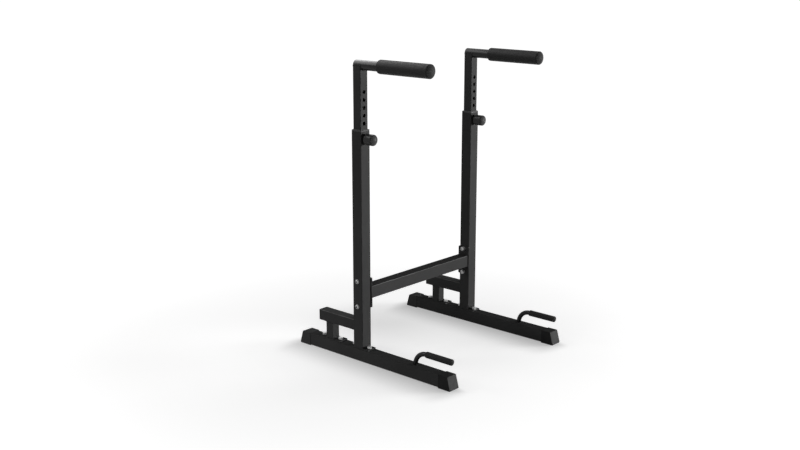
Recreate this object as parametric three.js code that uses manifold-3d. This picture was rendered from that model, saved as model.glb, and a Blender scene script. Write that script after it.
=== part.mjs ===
import * as THREE from "three";
import { mergeVertices } from "three/addons/utils/BufferGeometryUtils.js";
import Module from "manifold-3d";

// A free-standing dip station of welded square tube: two side frames joined by a bolted crossbeam,
// each with a height-adjustable handle locked by a spring pin, and a low push-up grip on its base.
// Lengths are in millimetres, +Z is up, and the user steps in from the -Y side.

const wasm = await Module();
wasm.setup();

// Layout of the whole station
const frameSpacing = 672; // between the centre planes of the two side frames
const frontReach = 481; // from an upright's centre to the toe of the front cap
const rearReach = 339; // from an upright's centre to the toe of the rear cap
const handleHeight = 1183; // handle axis above the floor, with the pin in its hole
const topHoleDrop = 101; // from the handle's axis down to the slide tube's highest hole
const pinDrop = 30; // from an upright's cut end down to the locking pin's axis

// Fits
const seatGap = 0.3; // between faces that are welded, pressed or bolted together
const slideGap = 0.3; // on each side of a tube that slides in its bush
const boreGap = 0.3; // between a round shaft and its bore
const boltGap = 0.5; // between a bolt and its clearance hole
const cutOverrun = 4; // how far a cutting tool runs past the wall it cuts

// Square tube stock
const tubeCorner = 3; // outer corner radius of every square tube
const tubeWall = 2;
const railSize = 50;
const uprightSize = 50;
const slideSize = 40;
const beamSize = 50;
const braceSize = 45;
const postSize = 38;

// Plastic foot caps on the ends of the floor rails
const capLength = 62; // along the sole
const capRake = 16; // how far the end face leans back over its height
const capWall = 2; // beside and above the rail
const capSole = 2.5; // under the rail
const capNose = 22; // from the toe to the rail's cut end
const capCorner = 4; // rounding of the cap's outline seen from the side
const capEdge = 1.5; // rounding of the edges along that outline

// Foot plates welded under the uprights and the posts
const plateThickness = 5;
const plateCorner = 5;
const uprightPlateLength = 105;
const uprightBoltSpacing = 80;
const postPlateLength = 124;
const postBoltSpacing = 92;

// Rear brace and its post
const braceHeight = 148; // brace axis above the floor
const braceOverhang = 55; // brace behind its post's centre
const postPlaceShare = 0.5423; // of the free rail between the upright's plate and the rear cap

// Plugs in open tube ends
const plugFlange = 3;
const plugDepth = 16;
const handlePlugFlange = 2;

// Crossbeam, its end plates and their bolts
const beamHeight = 282; // beam axis above the floor
const endPlateWidth = 58;
const endPlateHeight = 124;
const endPlateThickness = 5;
const beamBoltSpacing = 104;

// Fasteners
const boltRadius = 5;
const washerRadius = 10;
const washerThickness = 2;
const hexAcrossFlats = 17;
const hexHeadHeight = 6.5;
const hexChamfer = 1.2;
const buttonRadius = 8.8;
const buttonHeight = 5.5;
const socketAcrossFlats = 6;
const socketDepth = 3.2;
const nutHeight = 8;
const nutCollarRadius = 7.4;
const nutCollarHeight = 2.5;
const boltEndRecess = 1.5; // how far a bolt stops short of its nut's mouth
const footBoltLength = 20;
const weldNutHeight = 8;

// Sliding tube and its guide bush
const holePitch = 30;
const holeRadius = 7.5;
const holesAbovePin = 6;
const holesBelowPin = 1;
const slideTail = 72; // tube below its lowest hole
const bushFlange = 2;
const bushDepth = 62;

// Handle bar and its foam grip
const handleRadius = 19;
const handleWall = 2;
const gripRadius = 27;
const gripStart = 104; // from the upright's centre to the grip's rear end
const gripEnd = 357; // from the upright's centre to the grip's closed end
const gripEndWall = 8;
const gripEdge = 4;
const gripDome = 4; // bulge of the closed end

// Spring-loaded locking pin, drawn in its pulled position, clear of the sliding tube
const pinRadius = 7;
const pinChamfer = 1.5;
const pinSpan = 11.6; // pin from its tip to its shoulder
const shoulderRadius = 8.2;
const shoulderThickness = 2;
const stemRadius = 4;
const collarRadius = 12;
const collarLength = 27;
const collarEndWall = 3;
const collarEdge = 1;
const springWireRadius = 0.6;
const springTurns = 6;
const knobRadius = 22;
const knobStandoff = 9; // from the upright's face to the knob's skirt
const knobLength = 40;
const knobEdge = 6.5;
const knobSkirtEdge = 1.5;
const knobDome = 1.5;
const knobBoreGap = 0.6; // between the knob's skirt and the collar inside it
const knobTravelIn = 6.5; // how far the pin and knob move in to lock
const knobEndWall = 4; // knob in front of the stem's end

// Push-up handle on the front of each floor rail
const pushUpOffset = 284; // from the upright's centre forward to the rod's foot
const rodRadius = 9.5;
const rodWall = 2;
const rodBend = 54; // centreline radius of the quarter bend
const pushGripRadius = 12.5;
const pushGripSetback = 3; // straight rod between the bend and the grip
const pushGripLength = 128;
const pushGripEndWall = 5;
const pushGripEdge = 2;
const pushGripDome = 2;

// Facets
const cornerFacets = 2;
const boreFacets = 12;
const washerFacets = 12;
const collarFacets = 16;
const handleFacets = 20;
const knobFacets = 20;
const rodFacets = 12;
const bendSteps = 8;
const springFacets = 4;
const springStepsPerTurn = 8;
const edgeFacets = 1;
const domeFacets = 2;
const weldTolerance = 1e-4;

// Heights and faces that follow from the sizes above
const railTop = capSole + railSize;
const plateBottom = railTop + seatGap;
const plateTop = plateBottom + plateThickness;
const tubeFoot = plateTop + seatGap;
const pinHeight = handleHeight - topHoleDrop - holesAbovePin * holePitch;
const uprightTop = pinHeight + pinDrop;
const uprightFace = uprightSize / 2;
const collarFront = seatGap + collarLength;
const freeRail = rearReach - capLength - uprightPlateLength / 2 - postPlateLength;
const postOffset = (uprightPlateLength + postPlateLength) / 2 + postPlaceShare * freeRail;
const braceReach = postOffset + braceOverhang;

// Finishes
const finishes = {
  paint: { color: 0x1d1e20, roughness: 0.5, metalness: 0.25 },
  capPlastic: { color: 0x232426, roughness: 0.62, metalness: 0 },
  knobPlastic: { color: 0x17181a, roughness: 0.38, metalness: 0 },
  bushPlastic: { color: 0x2a2b2d, roughness: 0.6, metalness: 0 },
  foam: { color: 0x19191b, roughness: 0.9, metalness: 0 },
  zinc: { color: 0xb9bcc0, roughness: 0.35, metalness: 0.9 },
  steel: { color: 0x8f9296, roughness: 0.3, metalness: 1 },
};

// Closed geometry as a solid that can be joined and cut
function solid(geometry) {
  const bare = geometry.index ? geometry.toNonIndexed() : geometry.clone();
  bare.deleteAttribute("normal");
  bare.deleteAttribute("uv");
  const merged = mergeVertices(bare, weldTolerance);
  const mesh = new wasm.Mesh({
    numProp: 3,
    vertProperties: merged.getAttribute("position").array,
    triVerts: new Uint32Array(merged.index.array),
  });
  return new wasm.Manifold(mesh);
}

// Solid as a named mesh with a finish of its own
function piece(name, body, finish) {
  const mesh = body.getMesh();
  const geometry = new THREE.BufferGeometry();
  geometry.setAttribute("position", new THREE.BufferAttribute(mesh.vertProperties, 3));
  geometry.setIndex(new THREE.BufferAttribute(mesh.triVerts, 1));
  geometry.computeVertexNormals();
  const made = new THREE.Mesh(geometry, new THREE.MeshStandardMaterial(finishes[finish]));
  made.name = name;
  return made;
}

// Rounded rectangle drawn on a shape or on a hole's path
function roundedRectangle(path, width, height, radius) {
  const x = width / 2 - radius;
  const y = height / 2 - radius;
  path.absarc(x, y, radius, 0, Math.PI / 2);
  path.absarc(-x, y, radius, Math.PI / 2, Math.PI);
  path.absarc(-x, -y, radius, Math.PI, Math.PI * 1.5);
  path.absarc(x, -y, radius, Math.PI * 1.5, Math.PI * 2);
  path.closePath();
  return path;
}

// Convex outline with its corners rounded
function roundedOutline(corners, radius) {
  const shape = new THREE.Shape();
  const points = corners.map(([u, v]) => new THREE.Vector2(u, v));
  points.forEach((corner, i) => {
    const before = points.at(i - 1);
    const after = points[(i + 1) % points.length];
    const enter = corner.clone().add(before.clone().sub(corner).setLength(radius));
    const leave = corner.clone().add(after.clone().sub(corner).setLength(radius));
    if (i === 0) shape.moveTo(enter.x, enter.y);
    else shape.lineTo(enter.x, enter.y);
    shape.quadraticCurveTo(corner.x, corner.y, leave.x, leave.y);
  });
  shape.closePath();
  return shape;
}

// Outline pushed along an axis, centred on it
const axes = {
  x: new THREE.Matrix4().makeBasis(
    new THREE.Vector3(0, 1, 0), new THREE.Vector3(0, 0, 1), new THREE.Vector3(1, 0, 0)),
  y: new THREE.Matrix4().makeBasis(
    new THREE.Vector3(0, 0, 1), new THREE.Vector3(1, 0, 0), new THREE.Vector3(0, 1, 0)),
  z: new THREE.Matrix4(),
};
function pushed(shape, axis, from, to) {
  const geometry = new THREE.ExtrudeGeometry(shape, {
    depth: to - from,
    bevelEnabled: false,
    curveSegments: cornerFacets,
  });
  geometry.translate(0, 0, from);
  geometry.applyMatrix4(axes[axis]);
  return solid(geometry);
}

// Square bar and square tube along an axis
function squareBar(size, corner, axis, from, to) {
  return pushed(roundedRectangle(new THREE.Shape(), size, size, corner), axis, from, to);
}
function squareTube(size, axis, from, to) {
  const shape = roundedRectangle(new THREE.Shape(), size, size, tubeCorner);
  const bore = size - 2 * tubeWall;
  shape.holes.push(roundedRectangle(new THREE.Path(), bore, bore, tubeCorner - tubeWall));
  return pushed(shape, axis, from, to);
}

// Round bar along an axis
function roundBar(radius, axis, from, to, facets = boreFacets) {
  const geometry = new THREE.CylinderGeometry(radius, radius, to - from, facets);
  geometry.translate(0, (from + to) / 2, 0);
  if (axis === "x") geometry.rotateZ(-Math.PI / 2);
  if (axis === "z") geometry.rotateX(Math.PI / 2);
  return solid(geometry);
}

// Hexagonal bar upright on the Z axis
function hexBar(acrossFlats, from, to) {
  return roundBar(acrossFlats / Math.sqrt(3), "z", from, to, 6);
}

// Turned piece about the Y axis, from a profile of radius and position that runs from -Y to +Y
// outside and returns inside
function turned(profile, facets, arcFacets = edgeFacets) {
  return solid(new THREE.LatheGeometry(profile.getPoints(arcFacets), facets));
}

// The same about the Z axis
function turnedUpright(profile, facets) {
  const geometry = new THREE.LatheGeometry(profile.getPoints(edgeFacets), facets);
  geometry.rotateX(Math.PI / 2);
  return solid(geometry);
}

// Foam sleeve with a domed, closed front end and an open rear end
function sleeve(radius, bore, rear, front, endWall, edge, dome, facets) {
  const profile = new THREE.Path();
  profile.moveTo(0, -front);
  profile.quadraticCurveTo(radius / 2, -front, radius - edge, dome - front);
  profile.absarc(radius - edge, dome + edge - front, edge, -Math.PI / 2, 0);
  profile.lineTo(radius, -rear - edge / 2);
  profile.absarc(radius - edge / 2, -rear - edge / 2, edge / 2, 0, Math.PI / 2);
  profile.lineTo(bore, -rear);
  profile.lineTo(bore, endWall - front);
  profile.lineTo(0, endWall - front);
  return turned(profile, facets, domeFacets);
}

// Floor rail: square tube with weld nuts under the holes for the foot bolts
const footBoltPlaces = [
  -uprightBoltSpacing / 2,
  uprightBoltSpacing / 2,
  postOffset - postBoltSpacing / 2,
  postOffset + postBoltSpacing / 2,
];
function floorRail() {
  let rail = squareTube(railSize, "y", capNose - frontReach, rearReach - capNose);
  rail = rail.translate([0, 0, capSole + railSize / 2]);
  const nutTop = railTop - tubeWall / 2;
  const nutBottom = railTop - tubeWall - weldNutHeight;
  for (const y of footBoltPlaces) {
    rail = rail.add(hexBar(hexAcrossFlats, nutBottom, nutTop).translate([0, y, 0]));
    const hole = roundBar(boltRadius + boreGap, "z", nutBottom - cutOverrun, railTop + cutOverrun);
    rail = rail.subtract(hole.translate([0, y, 0]));
  }
  return rail;
}

// Foot cap: a raked plastic boot that the rail's end pushes into
function footCap(reach) {
  const height = railTop + capWall;
  const outline = roundedOutline(
    [[-reach, 0], [capLength - reach, 0], [capLength - reach, height], [capRake - reach, height]],
    capCorner,
  );
  const halfWidth = railSize / 2 + capWall;
  const geometry = new THREE.ExtrudeGeometry(outline, {
    depth: 2 * (halfWidth - capEdge),
    bevelThickness: capEdge,
    bevelSize: capEdge,
    bevelOffset: -capEdge,
    bevelSegments: edgeFacets,
    curveSegments: cornerFacets,
  });
  geometry.translate(0, 0, capEdge - halfWidth);
  geometry.applyMatrix4(axes.x);
  const pocketSize = railSize + 2 * seatGap;
  const pocketEnd = capNose - reach - seatGap;
  const pocket = squareBar(pocketSize, tubeCorner, "y", pocketEnd, capLength - reach + cutOverrun);
  return solid(geometry).subtract(pocket.translate([0, 0, capSole + railSize / 2]));
}

// Foot plate: flat bar with a bolt hole in each ear
function footPlate(length, boltSpacing) {
  const shape = roundedRectangle(new THREE.Shape(), railSize, length, plateCorner);
  let plate = pushed(shape, "z", plateBottom, plateTop);
  for (const side of [-1, 1]) {
    const hole = roundBar(boltRadius + boltGap, "z", plateBottom - cutOverrun, plateTop + cutOverrun);
    plate = plate.subtract(hole.translate([0, side * boltSpacing / 2, 0]));
  }
  return plate;
}

// Upright: square tube with a pin hole in front and two holes through it for the crossbeam's bolts
function upright() {
  let tube = squareTube(uprightSize, "z", tubeFoot, uprightTop);
  const pinHole = roundBar(
    pinRadius + boreGap, "y", -uprightFace - cutOverrun, tubeWall + cutOverrun - uprightFace);
  tube = tube.subtract(pinHole.translate([0, 0, pinHeight]));
  for (const side of [-1, 1]) {
    const hole = roundBar(
      boltRadius + boltGap, "x", -uprightFace - cutOverrun, uprightFace + cutOverrun);
    tube = tube.subtract(hole.translate([0, 0, beamHeight + side * beamBoltSpacing / 2]));
  }
  return tube;
}

// Rear brace from the upright back over its post, closed by a pushed-in plug
const braceRear = braceReach - plugFlange;
function rearBrace() {
  const tube = squareTube(braceSize, "y", uprightFace + seatGap, braceRear - seatGap);
  return tube.translate([0, 0, braceHeight]);
}
function bracePlug() {
  const stemSize = braceSize - 2 * (tubeWall + seatGap);
  const flange = squareBar(braceSize, tubeCorner, "y", braceRear, braceReach);
  const stem = squareBar(
    stemSize, tubeCorner - tubeWall, "y", braceRear - plugDepth, braceRear + plugFlange / 2);
  return flange.add(stem).translate([0, 0, braceHeight]);
}
function bracePost() {
  const top = braceHeight - braceSize / 2 - seatGap;
  return squareTube(postSize, "z", tubeFoot, top).translate([0, postOffset, 0]);
}

// Guide bush: flanged plastic sleeve between the upright and the sliding tube
const bushBore = slideSize + 2 * slideGap;
function guideBush() {
  const flangeBottom = uprightTop + seatGap;
  const sleeveSize = uprightSize - 2 * (tubeWall + seatGap);
  const flangeTop = flangeBottom + bushFlange;
  const foot = uprightTop - bushDepth;
  const flange = squareBar(uprightSize, tubeCorner, "z", flangeBottom, flangeTop);
  const body = squareBar(sleeveSize, tubeCorner - tubeWall, "z", foot, flangeTop - bushFlange / 2);
  const bore = squareBar(bushBore, tubeCorner, "z", foot - cutOverrun, flangeTop + cutOverrun);
  const bush = flange.add(body).subtract(bore);
  const window = roundBar(holeRadius, "y", -uprightFace, -slideSize / 4);
  return bush.subtract(window.translate([0, 0, pinHeight]));
}

// Sliding tube: a row of pin holes down its front, and a top end coped to the round handle bar
function slideTube() {
  const bottom = pinHeight - holesBelowPin * holePitch - slideTail;
  let tube = squareTube(slideSize, "z", bottom, handleHeight);
  const cope = roundBar(
    handleRadius + seatGap, "y", -slideSize / 2 - cutOverrun, slideSize / 2 + cutOverrun, handleFacets);
  tube = tube.subtract(cope.translate([0, 0, handleHeight]));
  for (let hole = -holesBelowPin; hole <= holesAbovePin; hole += 1) {
    const drill = roundBar(
      holeRadius, "y", -slideSize / 2 - cutOverrun, tubeWall + cutOverrun - slideSize / 2);
    tube = tube.subtract(drill.translate([0, 0, pinHeight + hole * holePitch]));
  }
  return tube;
}

// Handle bar: round tube across the coped top, with a plug in its rear end
const handleRear = slideSize / 2 - handlePlugFlange;
const handleFront = gripEnd - gripEndWall - seatGap;
function handleBar() {
  const bore = handleRadius - handleWall;
  const profile = new THREE.Path();
  profile.moveTo(bore, -handleFront);
  profile.lineTo(handleRadius, -handleFront);
  profile.lineTo(handleRadius, handleRear - seatGap);
  profile.lineTo(bore, handleRear - seatGap);
  profile.closePath();
  return turned(profile, handleFacets).translate([0, 0, handleHeight]);
}
function handlePlug() {
  const stem = handleRadius - handleWall - seatGap;
  const profile = new THREE.Path();
  profile.moveTo(0, handleRear - plugDepth);
  profile.lineTo(stem, handleRear - plugDepth);
  profile.lineTo(stem, handleRear);
  profile.lineTo(handleRadius, handleRear);
  profile.lineTo(handleRadius, slideSize / 2 - handlePlugFlange / 2);
  profile.lineTo(handleRadius - handlePlugFlange / 2, slideSize / 2);
  profile.lineTo(0, slideSize / 2);
  return turned(profile, handleFacets).translate([0, 0, handleHeight]);
}
function handleGrip() {
  const grip = sleeve(
    gripRadius, handleRadius + seatGap, gripStart, gripEnd, gripEndWall, gripEdge, gripDome,
    handleFacets);
  return grip.translate([0, 0, handleHeight]);
}

// Locking pin set, in positions forward of the upright's front face
const pinTip = slideSize / 2 + seatGap - uprightFace; // just clear of the sliding tube
const shoulderRear = pinTip + pinSpan;
const shoulderFront = shoulderRear + shoulderThickness;
const springBoreRadius = shoulderRadius + boreGap;
const springEnd = collarFront - collarEndWall;
const knobFront = knobStandoff + knobLength;
const knobBoreEnd = collarFront + knobTravelIn + seatGap * 2;
const stemEnd = knobFront - knobEndWall;
function atPin(body) {
  return body.translate([0, -uprightFace, pinHeight]);
}
function pinCollar() {
  const profile = new THREE.Path();
  profile.moveTo(stemRadius + boreGap, -collarFront);
  profile.lineTo(collarRadius - collarEdge, -collarFront);
  profile.lineTo(collarRadius, collarEdge - collarFront);
  profile.lineTo(collarRadius, -seatGap);
  profile.lineTo(springBoreRadius, -seatGap);
  profile.lineTo(springBoreRadius, -springEnd);
  profile.lineTo(stemRadius + boreGap, -springEnd);
  profile.closePath();
  return atPin(turned(profile, collarFacets));
}
function lockPin() {
  const profile = new THREE.Path();
  profile.moveTo(0, -stemEnd);
  profile.lineTo(stemRadius, -stemEnd);
  profile.lineTo(stemRadius, -shoulderFront);
  profile.lineTo(shoulderRadius, -shoulderFront);
  profile.lineTo(shoulderRadius, -shoulderRear);
  profile.lineTo(pinRadius, -shoulderRear);
  profile.lineTo(pinRadius, -pinTip - pinChamfer);
  profile.lineTo(pinRadius - pinChamfer, -pinTip);
  profile.lineTo(0, -pinTip);
  return atPin(turned(profile, boreFacets));
}
function pullKnob() {
  const skirtBore = collarRadius + knobBoreGap;
  const profile = new THREE.Path();
  profile.moveTo(0, -knobFront);
  profile.quadraticCurveTo(
    (knobRadius - knobEdge) / 2, -knobFront, knobRadius - knobEdge, knobDome - knobFront);
  profile.absarc(
    knobRadius - knobEdge, knobDome + knobEdge - knobFront, knobEdge, -Math.PI / 2, 0);
  profile.lineTo(knobRadius, -knobStandoff - knobSkirtEdge);
  profile.lineTo(knobRadius - knobSkirtEdge, -knobStandoff);
  profile.lineTo(skirtBore, -knobStandoff);
  profile.lineTo(skirtBore, -knobBoreEnd);
  profile.lineTo(stemRadius + boreGap, -knobBoreEnd);
  profile.lineTo(stemRadius + boreGap, -stemEnd - seatGap);
  profile.lineTo(0, -stemEnd - seatGap);
  return atPin(turned(profile, knobFacets, domeFacets));
}

// Compression spring round the pin's stem, as one unbroken wire
class SpringLine extends THREE.Curve {
  constructor(radius, start, end) {
    super();
    this.radius = radius;
    this.start = start;
    this.end = end;
  }
  getPoint(share) {
    const turn = 2 * Math.PI * springTurns * share;
    const along = this.start + (this.end - this.start) * share;
    return new THREE.Vector3(this.radius * Math.cos(turn), along, this.radius * Math.sin(turn));
  }
}
function pinSpring() {
  const line = new SpringLine(
    (springBoreRadius + stemRadius) / 2,
    springWireRadius + seatGap - springEnd,
    -shoulderFront - springWireRadius - seatGap,
  );
  const wire = new THREE.Shape();
  wire.absarc(0, 0, springWireRadius, 0, 2 * Math.PI);
  const geometry = new THREE.ExtrudeGeometry(wire, {
    steps: springTurns * springStepsPerTurn,
    curveSegments: springFacets / 2,
    extrudePath: line,
  });
  return atPin(solid(geometry));
}

// Push-up handle: round tube bent from the rail's top face into a level grip
const rodFoot = railTop + seatGap;
const pushGripHeight = rodFoot + rodBend;
const pushGripStart = pushUpOffset + rodBend + pushGripSetback;
const pushGripFront = pushGripStart + pushGripLength;
const rodEnd = pushGripFront - pushGripEndWall - seatGap;
class BentRodLine extends THREE.Curve {
  getPointAt(share) {
    const station = Math.min(share * (bendSteps + 1), bendSteps);
    const angle = (Math.PI / 2) * (station / bendSteps);
    const run = share < 1 ? 0 : rodEnd - pushUpOffset - rodBend;
    const y = rodBend * (Math.cos(angle) - 1) - run;
    return new THREE.Vector3(0, y - pushUpOffset, rodFoot + rodBend * Math.sin(angle));
  }
  getTangentAt(share) {
    const station = Math.min(share * (bendSteps + 1), bendSteps);
    const angle = (Math.PI / 2) * (station / bendSteps);
    return new THREE.Vector3(0, -Math.sin(angle), Math.cos(angle));
  }
}
function pushUpRod() {
  const ring = new THREE.Shape();
  ring.absarc(0, 0, rodRadius, 0, 2 * Math.PI);
  const bore = new THREE.Path();
  bore.absarc(0, 0, rodRadius - rodWall, 0, 2 * Math.PI);
  ring.holes.push(bore);
  const geometry = new THREE.ExtrudeGeometry(ring, {
    steps: bendSteps + 1,
    curveSegments: rodFacets / 2,
    extrudePath: new BentRodLine(),
  });
  return solid(geometry);
}
function pushUpGrip() {
  const grip = sleeve(
    pushGripRadius, rodRadius + seatGap, pushGripStart, pushGripFront,
    pushGripEndWall, pushGripEdge, pushGripDome, collarFacets);
  return grip.translate([0, 0, pushGripHeight]);
}

// Hexagonal blank with its upper corners chamfered
function hexBlank(from, to) {
  const corner = hexAcrossFlats / Math.sqrt(3);
  const profile = new THREE.Path();
  profile.moveTo(0, from);
  profile.lineTo(corner, from);
  profile.lineTo(corner, to - hexChamfer);
  profile.lineTo(hexAcrossFlats / 2 - hexChamfer / 2, to);
  profile.lineTo(0, to);
  return hexBar(hexAcrossFlats, from, to).intersect(turnedUpright(profile, boreFacets));
}

// Foot bolt: hexagon head over a washer, standing on the plate's top at height zero
function footBolt() {
  const washerTop = seatGap + washerThickness;
  const shank = roundBar(boltRadius, "z", -footBoltLength, washerTop);
  const washer = roundBar(washerRadius, "z", seatGap, washerTop, washerFacets);
  const head = hexBlank(washerTop - washerThickness / 2, washerTop + hexHeadHeight);
  return shank.add(washer).add(head);
}

// Beam bolt: button head with a hexagon socket over a washer, its shank through upright and plate
const beamBoltStack = uprightSize + seatGap + endPlateThickness;
function beamBolt() {
  const washerTop = seatGap + washerThickness;
  const headTop = washerTop + buttonHeight;
  const nutMouth = seatGap + washerThickness + nutHeight + nutCollarHeight;
  const shank = roundBar(
    boltRadius, "z", boltEndRecess - beamBoltStack - nutMouth, washerTop + washerThickness);
  const washer = roundBar(washerRadius, "z", seatGap, washerTop, washerFacets);
  const dome = new THREE.Path();
  dome.moveTo(0, washerTop - washerThickness / 2);
  dome.lineTo(buttonRadius, washerTop - washerThickness / 2);
  dome.lineTo(buttonRadius, washerTop + buttonHeight / 4);
  dome.quadraticCurveTo(buttonRadius, headTop, buttonRadius / 2, headTop);
  dome.lineTo(0, headTop);
  const head = turnedUpright(dome, washerFacets);
  const socket = hexBar(socketAcrossFlats, headTop - socketDepth, headTop + cutOverrun);
  return shank.add(washer).add(head).subtract(socket);
}

// Lock nut: hexagon with a round collar over a washer, standing on the plate at height zero
function lockNut() {
  const washerTop = seatGap + washerThickness;
  const hexTop = washerTop + nutHeight;
  const collarTop = hexTop + nutCollarHeight;
  const washer = roundBar(washerRadius, "z", seatGap, washerTop, washerFacets);
  const hex = hexBlank(washerTop - washerThickness / 2, hexTop);
  const collar = roundBar(nutCollarRadius, "z", hexTop - hexChamfer, collarTop, washerFacets);
  const bore = roundBar(boltRadius + boreGap, "z", seatGap - cutOverrun, collarTop + cutOverrun);
  return washer.add(hex).add(collar).subtract(bore);
}

// Crossbeam and one of its end plates
function crossbeam() {
  const half = frameSpacing / 2 - uprightFace - endPlateThickness - 2 * seatGap;
  return squareTube(beamSize, "x", -half, half).translate([0, 0, beamHeight]);
}
function endPlate() {
  const shape = roundedRectangle(new THREE.Shape(), endPlateWidth, endPlateHeight, plateCorner);
  let plate = pushed(shape, "x", 0, endPlateThickness);
  for (const side of [-1, 1]) {
    const hole = roundBar(boltRadius + boltGap, "x", -cutOverrun, endPlateThickness + cutOverrun);
    plate = plate.subtract(hole.translate([0, 0, side * beamBoltSpacing / 2]));
  }
  return plate;
}

// One side frame, about its own centre plane
function sideFrame(side) {
  const frame = new THREE.Group();
  const sharedPieces = [
    ["floor_rail", floorRail(), "paint"],
    ["front_foot_cap", footCap(frontReach), "capPlastic"],
    ["upright", upright(), "paint"],
    ["upright_foot_plate", footPlate(uprightPlateLength, uprightBoltSpacing), "paint"],
    ["rear_brace", rearBrace(), "paint"],
    ["brace_end_plug", bracePlug(), "capPlastic"],
    ["brace_post", bracePost(), "paint"],
    ["guide_bush", guideBush(), "bushPlastic"],
    ["slide_tube", slideTube(), "paint"],
    ["handle_bar", handleBar(), "paint"],
    ["handle_end_plug", handlePlug(), "capPlastic"],
    ["handle_grip", handleGrip(), "foam"],
    ["pin_collar", pinCollar(), "paint"],
    ["lock_pin", lockPin(), "steel"],
    ["pin_spring", pinSpring(), "steel"],
    ["pull_knob", pullKnob(), "knobPlastic"],
    ["push_up_rod", pushUpRod(), "paint"],
    ["push_up_grip", pushUpGrip(), "foam"],
  ];
  for (const [name, body, finish] of sharedPieces) {
    frame.add(piece(side + "_" + name, body, finish));
  }
  const rearCap = piece(side + "_rear_foot_cap", footCap(rearReach), "capPlastic");
  rearCap.rotation.z = Math.PI;
  frame.add(rearCap);
  const postPlate = piece(
    side + "_post_foot_plate", footPlate(postPlateLength, postBoltSpacing), "paint");
  postPlate.position.y = postOffset;
  frame.add(postPlate);
  footBoltPlaces.forEach((y, i) => {
    const bolt = piece(side + "_foot_bolt_" + (i + 1), footBolt(), "zinc");
    bolt.position.set(0, y, plateTop);
    frame.add(bolt);
  });
  return frame;
}

// Bolted joint of the crossbeam to one side frame; outward is -1 on the left and 1 on the right
function beamJoint(side, outward) {
  const joint = new THREE.Group();
  const innerFace = frameSpacing / 2 - uprightFace - seatGap;
  const plate = piece(side + "_beam_end_plate", endPlate(), "paint");
  plate.position.set(outward < 0 ? -innerFace : innerFace - endPlateThickness, 0, beamHeight);
  joint.add(plate);
  ["upper", "lower"].forEach((level, i) => {
    const z = beamHeight + (1 - 2 * i) * beamBoltSpacing / 2;
    const bolt = piece(side + "_" + level + "_beam_bolt", beamBolt(), "zinc");
    bolt.rotation.y = outward * Math.PI / 2;
    bolt.position.set(outward * (frameSpacing / 2 + uprightFace), 0, z);
    const nut = piece(side + "_" + level + "_beam_nut", lockNut(), "zinc");
    nut.rotation.y = -outward * Math.PI / 2;
    nut.position.set(outward * (innerFace - endPlateThickness), 0, z);
    joint.add(bolt, nut);
  });
  return joint;
}

// The station, with the origin on the floor under the middle of its footprint
const station = new THREE.Group();
const left = sideFrame("left");
left.position.x = -frameSpacing / 2;
const right = sideFrame("right");
right.position.x = frameSpacing / 2;
station.add(left, right, beamJoint("left", -1), beamJoint("right", 1));
station.add(piece("crossbeam", crossbeam(), "paint"));
station.position.y = (frontReach - rearReach) / 2;

const dipStation = new THREE.Group();
dipStation.add(station);
export default dipStation;
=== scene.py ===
import math

import bmesh
import bpy
from mathutils import Matrix, Vector


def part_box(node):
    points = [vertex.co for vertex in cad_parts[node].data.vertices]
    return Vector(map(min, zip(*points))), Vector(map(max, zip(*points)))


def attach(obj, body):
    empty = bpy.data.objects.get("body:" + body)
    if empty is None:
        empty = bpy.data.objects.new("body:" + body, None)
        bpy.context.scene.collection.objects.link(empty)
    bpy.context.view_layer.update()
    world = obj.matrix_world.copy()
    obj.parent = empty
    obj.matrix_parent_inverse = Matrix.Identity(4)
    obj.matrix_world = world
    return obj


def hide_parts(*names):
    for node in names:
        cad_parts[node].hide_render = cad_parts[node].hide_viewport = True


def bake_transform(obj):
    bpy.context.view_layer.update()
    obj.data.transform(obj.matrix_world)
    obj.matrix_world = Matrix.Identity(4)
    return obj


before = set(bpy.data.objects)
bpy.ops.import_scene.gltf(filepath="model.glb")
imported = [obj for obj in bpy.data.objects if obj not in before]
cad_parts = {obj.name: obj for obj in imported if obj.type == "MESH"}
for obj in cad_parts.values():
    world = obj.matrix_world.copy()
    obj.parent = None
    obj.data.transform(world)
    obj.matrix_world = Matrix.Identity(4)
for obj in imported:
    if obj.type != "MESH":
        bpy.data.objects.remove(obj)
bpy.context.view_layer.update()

scene = bpy.context.scene

# Camera: a long lens at standing eye height in front of the left frame, turned down a little, so
# that both frames, the crossbeam and all four grips show.
camera_place = Vector((-3.361, -2.861, 1.612))
camera_view = Vector((0.7204, 0.6498, -0.2425))
camera_lens = 49.9
camera_sensor = 36.0
camera_far = 400.0


def placed(name, data):
    thing = bpy.data.objects.new(name, data)
    scene.collection.objects.link(thing)
    return thing


camera_data = bpy.data.cameras.new("camera")
camera_data.lens = camera_lens
camera_data.sensor_width = camera_sensor
camera_data.clip_end = camera_far
camera = placed("camera", camera_data)
camera.location = camera_place
camera.rotation_euler = camera_view.to_track_quat("-Z", "Y").to_euler()
scene.camera = camera
scene.view_settings.view_transform = "Standard"

# Studio: a white paper floor without an edge, a dim even sky and five soft boxes. Camera and mirror
# rays see sky and paper as white. The paper's white is painted dimmer in a wide pool round the
# object, and soft shade is painted into it along the rails, mostly on their left, and under the
# crossbeam.
sky_strength = 0.11
paper_shade = 0.65
paper_reach = 160.0
pool_centre = (-0.09, -0.1, 0.0)
pool_reach = 2.4
paper_glow_near = 0.655
paper_glow_far = 0.98
rail_shadow = 0.34
rail_shadow_reach = 0.2
lit_side_share = 0.2
rail_end_share = 0.45
beam_shadow = 0.16
beam_shadow_centre = (0.0, 0.32, 0.0)
beam_shadow_reach = 0.38


def feed(tree, node, inputs):
    for name, value in inputs.items():
        if isinstance(value, bpy.types.NodeSocket):
            tree.links.new(value, node.inputs[name])
        else:
            node.inputs[name].default_value = value


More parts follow.
